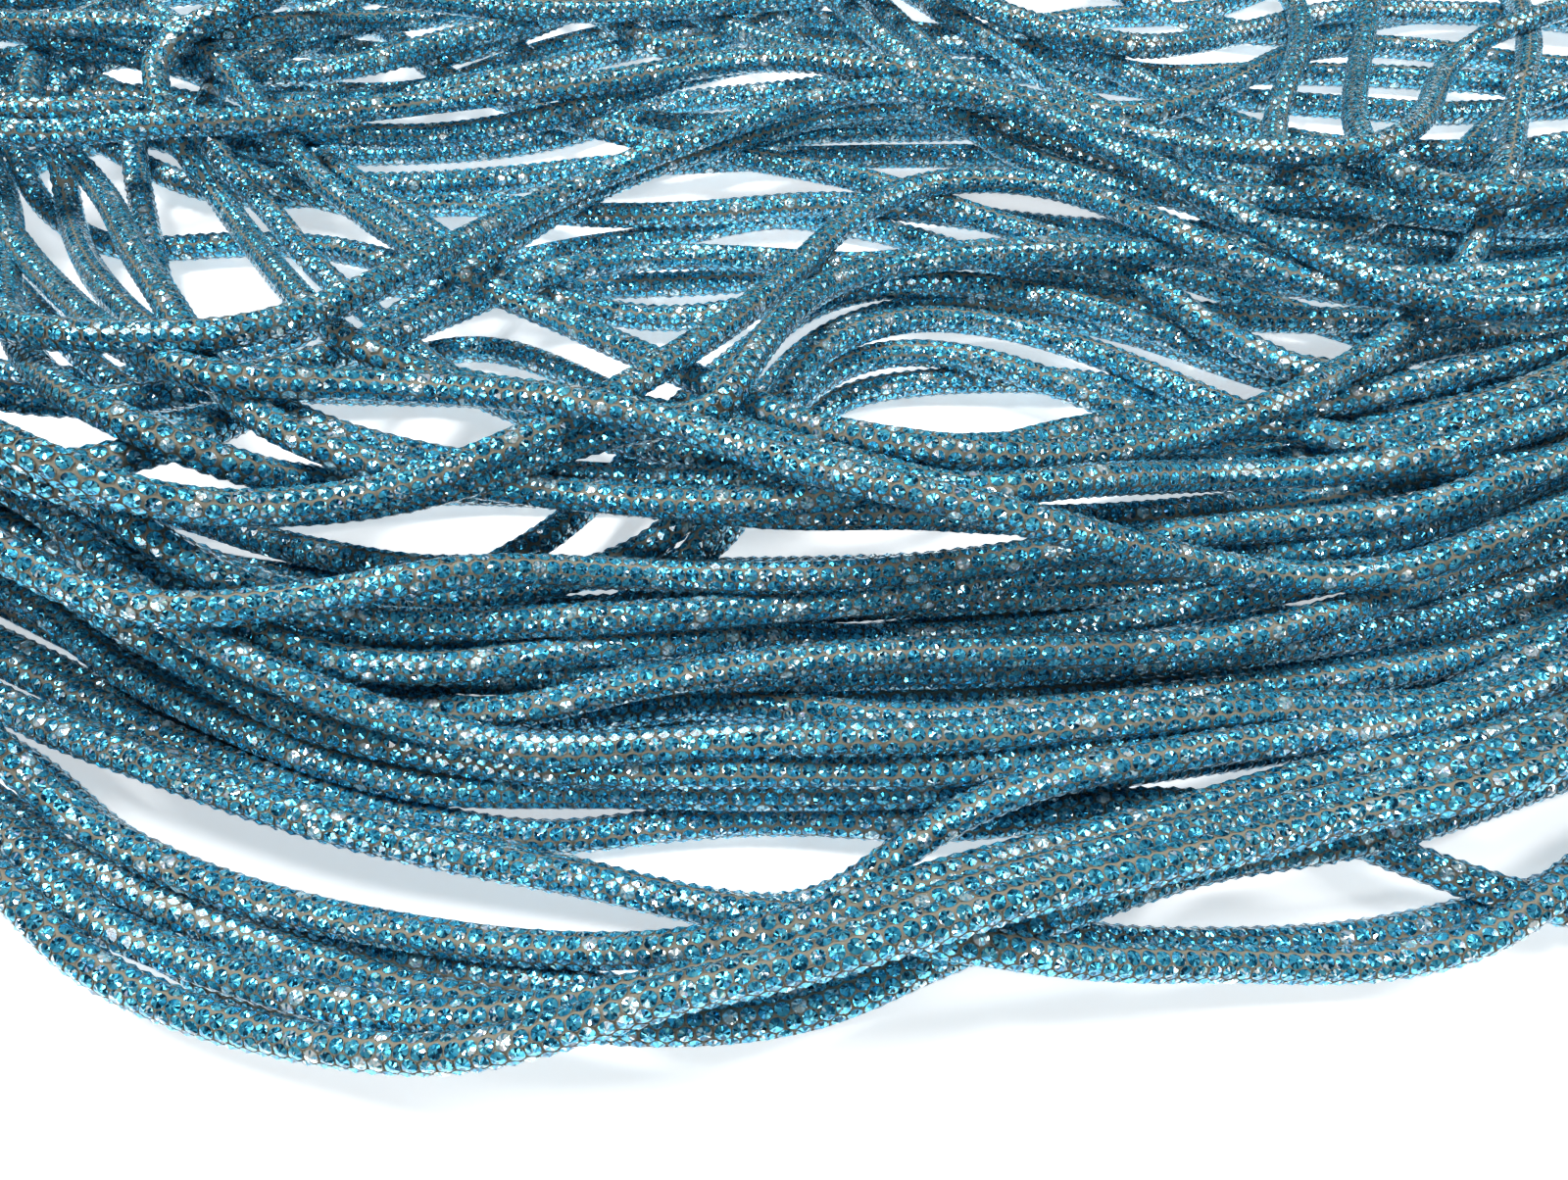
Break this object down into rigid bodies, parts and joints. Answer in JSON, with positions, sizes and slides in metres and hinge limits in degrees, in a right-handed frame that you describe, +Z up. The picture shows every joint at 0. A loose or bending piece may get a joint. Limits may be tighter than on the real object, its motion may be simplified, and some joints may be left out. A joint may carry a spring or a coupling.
{
  "type": "rhinestone cord",
  "caption": "Long round trimming cord set all over with small faceted blue stones, lying in a loose flat heap of wide round turns.",
  "frame": {"origin": "middle of the foot of the heap, on the surface that it lies on", "axes": "+Z up, +X along the heap's width as seen in the picture, +Y away from the picture's viewpoint"},
  "size_m": [0.7043, 0.3362, 0.0611],
  "materials": {
    "cord": "small faceted foil-backed stones, deep teal to pale aqua, over a grey-beige textile ground"
  },
  "bodies": {
    "root": {"cord": "cord"}
  },
  "joints": []
}
